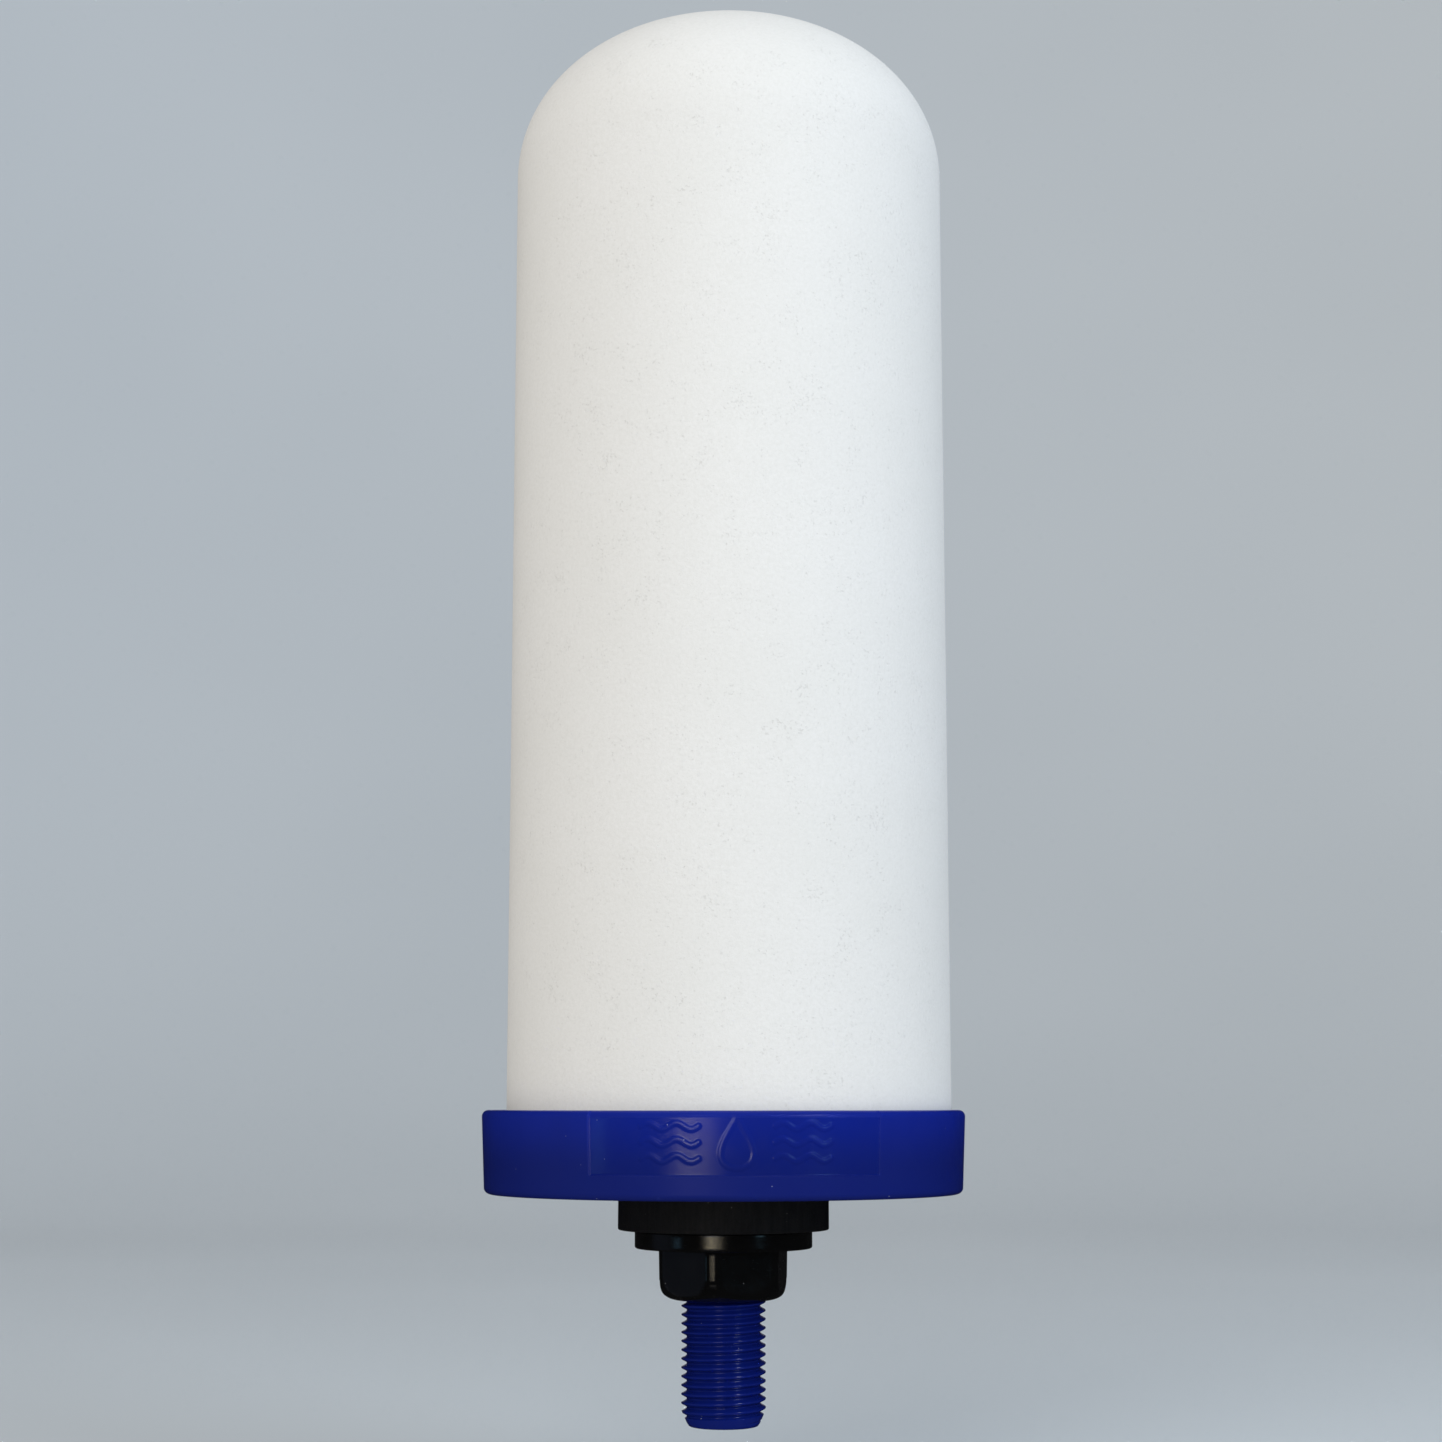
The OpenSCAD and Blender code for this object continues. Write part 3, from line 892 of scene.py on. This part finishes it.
def nut_thread(phase, height):
    """Radius of the nut's thread, opened out into a countersink at both mouths."""
    blend = 0.05 * MM
    mouth_low = nut_low.z + NUT_MOUTH_L
    mouth_high = nut_high.z - NUT_MOUTH_L
    depth = np.minimum(height - mouth_low, mouth_high - height)
    countersink = NUT_MOUTH_R - np.maximum(depth - blend, 0)
    thread = thread_radius(phase, THREAD_GAP)
    uniform = 1 - smoothstep(0, blend, depth)
    return np.maximum(thread, countersink) * (1 - uniform) + NUT_MOUTH_R * uniform


def nut_outside_rows(angle):
    """From the top mouth over the flange, down the hexagon and round its shoulder to the foot."""
    edge = 0.35 * MM
    fillet = 0.5 * MM
    top = nut_high.z
    flange_foot = top - FLANGE_L
    rim = FLANGE_R - edge
    yield NUT_MOUTH_R + 0.2 * MM, top
    yield 11 * MM, top
    for row in arc(rim, top - edge, edge, 90, 0, 6):
        yield row
    for height in np.linspace(top - edge, flange_foot + edge, 8)[1:-1]:
        yield FLANGE_R, height
    for row in arc(rim, flange_foot + edge, edge, 0, -90, 6):
        yield row
    body = hexagon(angle)
    for share in (0.35, 0.7):
        yield rim + (body + fillet - rim) * share, flange_foot
    for turn in np.radians(np.linspace(0, 90, 6)):
        yield body + fillet * (1 - math.sin(turn)), flange_foot - fillet * (1 - math.cos(turn))
    body_top = flange_foot - fillet
    shoulder = NUT_FLAT_R + MM - NUT_FOOT_R
    shoulder_top = nut_low.z + shoulder
    for share in np.linspace(0, 1, 14)[1:]:
        yield body - NUT_DRAFT * share, body_top * (1 - share) + shoulder_top * share
    body = body - NUT_DRAFT
    for turn in np.radians(np.linspace(0, 90, 26))[1:]:
        limit = NUT_FOOT_R + shoulder * math.cos(turn)
        yield smooth_min(body, limit, 0.5 * MM), shoulder_top - shoulder * math.sin(turn)
    yield NUT_MOUTH_R + 0.12 * MM, nut_low.z


def flange_nut():
    surface = Surface()
    outside = even_angles(720)
    first, last = surface.sweep(outside, nut_outside_rows(outside))
    around = even_angles(THREAD_COLUMNS)
    low, high = surface.helix(nut_thread, nut_low.z + NUT_MOUTH_L, nut_high.z - NUT_MOUTH_L,
                              THREAD_COLUMNS, THREAD_ROWS)
    _, low_mouth = surface.sweep(around, [(NUT_MOUTH_R, nut_low.z)], start=low)
    _, high_mouth = surface.sweep(around, [(NUT_MOUTH_R, nut_high.z)], start=high)
    surface.zip_rings(high_mouth, first)
    surface.zip_rings(low_mouth, last)
    surface.make("flange_nut_moulded", "nut", nut_finish(), ["flange_nut"])


# ---------------------------------------------------------------- studio

def clear_from_below(tree, shader):
    """Leaves the flat floor out when it is seen from underneath, so that it hides nothing."""
    from_below = maths(tree, "LESS_THAN", upward(tree, geometry(tree, "Incoming")), 0.0)
    flat = maths(tree, "LESS_THAN", upward(tree, geometry(tree, "Position")), FLOOR_Z + MM)
    both = add(tree, "ShaderNodeMixShader")
    put(tree, both.inputs[0], times(tree, from_below, flat))
    tree.links.new(shader.outputs[0], both.inputs[1])
    tree.links.new(add(tree, "ShaderNodeBsdfTransparent").outputs[0], both.inputs[2])
    out = next(node for node in tree.nodes if node.type == "OUTPUT_MATERIAL")
    tree.links.new(both.outputs[0], out.inputs["Surface"])


def studio_floor():
    """A pale floor, clear of the nut's whole travel, that rises into a plain backdrop all round."""
    flat_r, bend, wall = 0.9, 0.9, 3.0
    rows = [(radius, FLOOR_Z) for radius in (0.02, 0.2, flat_r)]
    for turn in np.radians(np.linspace(0, 90, 25))[1:]:
        rows.append((flat_r + bend * math.sin(turn), FLOOR_Z + bend * (1 - math.cos(turn))))
    rows.append((flat_r + bend, FLOOR_Z + wall))
    surface = Surface()
    first, _ = surface.sweep(even_angles(96), rows)
    surface.close_end(first, FLOOR_Z)
    mesh = surface.mesh("studio_floor", sharp=180)
    material, tree, shader, place = new_material("studio_floor")
    cloud = ramp(tree, noise(tree, place, 0.5, detail=2), 0.3, 0.7)
    coat(tree, shader, mix(tree, cloud, (0.70, 0.755, 0.80), (0.73, 0.785, 0.83)), 0.9, 0.1)
    clear_from_below(tree, shader)
    mesh.materials.append(material)
    floor = bpy.data.objects.new("studio_floor", mesh)
    bpy.context.scene.collection.objects.link(floor)
    floor.visible_diffuse = False
    floor.visible_glossy = False


def window(tree, azimuth, elevation, sides, heights):
    """1 inside a part of the surroundings, by direction in degrees, fading at its four edges.

    sides is (from, full, full, to) round from the front, and heights the same upwards.
    """
    spans = []
    for value, (low, full_low, full_high, high) in ((azimuth, sides), (elevation, heights)):
        spans.append(ramp(tree, value, math.radians(low), math.radians(full_low)))
        spans.append(ramp(tree, value, math.radians(full_high), math.radians(high), 1.0, 0.0))
    shape = spans[0]
    for span in spans[1:]:
        shape = times(tree, shape, span)
    return shape


def surroundings():
    """Soft light all round, and separate shapes that only glossy surfaces mirror."""
    world = bpy.data.worlds.new("surroundings")
    bpy.context.scene.world = world
    world.use_nodes = True
    world.cycles.sampling_method = "NONE"
    tree = world.node_tree
    tree.nodes.clear()
    direction = add(tree, "ShaderNodeTexCoord").outputs["Generated"]
    x, y, z = add(tree, "ShaderNodeSeparateXYZ", Vector=direction).outputs[:3]
    azimuth = maths(tree, "ARCTAN2", x, times(tree, y, -1.0))
    elevation = maths(tree, "ARCSINE", z)
    behind = maths(tree, "ABSOLUTE", azimuth)

    level = plus(tree, plus(tree, 0.51, times(tree, y, -0.14)), times(tree, z, -0.03))
    tint = mix(tree, ramp(tree, x, -1.0, 1.0), (1.0, 0.965, 0.91), (0.90, 0.97, 1.06))
    soft = add(tree, "ShaderNodeBackground", Color=tint, Strength=level)

    shapes = (
        # a dim wall far round to the left
        (azimuth, (-110, -95, -78, -66), (-40, -30, 30, 40), (0.055, 0.068, 0.10)),
        # the main window left of the front, its warm sill and the glow under it
        (azimuth, (-26, -18, -16, 2), (-3.6, -2.2, 7, 14), (2.5, 2.45, 2.45)),
        (azimuth, (-26, -18, -16, 2), (-3.8, -3.0, -2.5, -1.7), (12.5, 10.4, 6.0)),
        (azimuth, (-26, -18, -12, 2), (-16, -12, -4.4, -3.4), (0.45, 0.43, 0.45)),
        # a roof light over it
        (azimuth, (-24, -16, -10, 0), (28, 33, 42, 50), (4.5, 4.6, 4.8)),
        # a cool strip on the right and a small bright lamp over it
        (azimuth, (42, 46, 49, 54), (-0.5, 1.0, 14, 20), (0.7, 1.3, 1.7)),
        (azimuth, (40, 43, 48, 51), (28, 31, 36, 39), (52, 57, 65)),
        # a low blue glint on the left
        (azimuth, (-70, -65, -60, -55), (-4.8, -4.2, -3.6, -3.2), (0.9, 1.8, 2.6)),
        # a tall window at the back
        (behind, (171, 176, 184, 189), (-10, 0, 50, 65), (0.9, 0.9, 0.95)),
    )
    mirrored = (0.010, 0.010, 0.011)
    for around, sides, heights, colour in shapes:
        mirrored = mix(tree, window(tree, around, elevation, sides, heights), mirrored, colour)
    overhead = ramp(tree, elevation, math.radians(55), math.radians(75))
    mirrored = mix(tree, overhead, mirrored, (0.5, 0.5, 0.5))
    glossy = add(tree, "ShaderNodeBackground", Color=mirrored, Strength=1.0)

    both = add(tree, "ShaderNodeMixShader")
    put(tree, both.inputs[0], add(tree, "ShaderNodeLightPath").outputs["Is Glossy Ray"])
    tree.links.new(soft.outputs[0], both.inputs[1])
    tree.links.new(glossy.outputs[0], both.inputs[2])
    out = add(tree, "ShaderNodeOutputWorld")
    tree.links.new(both.outputs[0], out.inputs["Surface"])


def softbox(name, place, target, watts, colour):
    """A square area light that glossy surfaces don't mirror."""
    light = bpy.data.lights.new(name, "AREA")
    light.size = 0.5
    light.energy = watts
    light.color = colour
    lamp = bpy.data.objects.new(name, light)
    lamp.location = place
    lamp.rotation_mode = "QUATERNION"
    lamp.rotation_quaternion = (Vector(target) - Vector(place)).to_track_quat("-Z", "Y")
    lamp.visible_glossy = False
    lamp.visible_camera = False
    bpy.context.scene.collection.objects.link(lamp)


def studio_lights():
    """A warm key from the front left and a cooler fill from the right."""
    softbox("key", (-0.25, -0.78, 0.40), (0, 0, 0.09), 2.6, (1.0, 0.98, 0.94))
    softbox("fill", (0.6, -0.42, 0.44), (0, 0, 0.14), 2.15, (0.85, 0.97, 1.07))


def camera():
    """In front, a little above the cap's underside, tipped up so the candle narrows upwards."""
    tipped_up = 0.148
    data = bpy.data.cameras.new("camera")
    data.sensor_width = 36
    data.lens = 64.161
    data.shift_x = -0.001734
    data.clip_start = 0.01
    data.clip_end = 20
    eye = bpy.data.objects.new("camera", data)
    eye.location = (0, -0.410, 0.0138)
    eye.rotation_euler = (math.radians(90) + tipped_up, 0, 0)
    bpy.context.scene.collection.objects.link(eye)
    bpy.context.scene.camera = eye


ceramic_shell()
base_cap()
bond_ring()
seal_washer()
flange_nut()
paint_inside()
studio_floor()
surroundings()
studio_lights()
camera()
bpy.context.scene.view_settings.view_transform = "Standard"
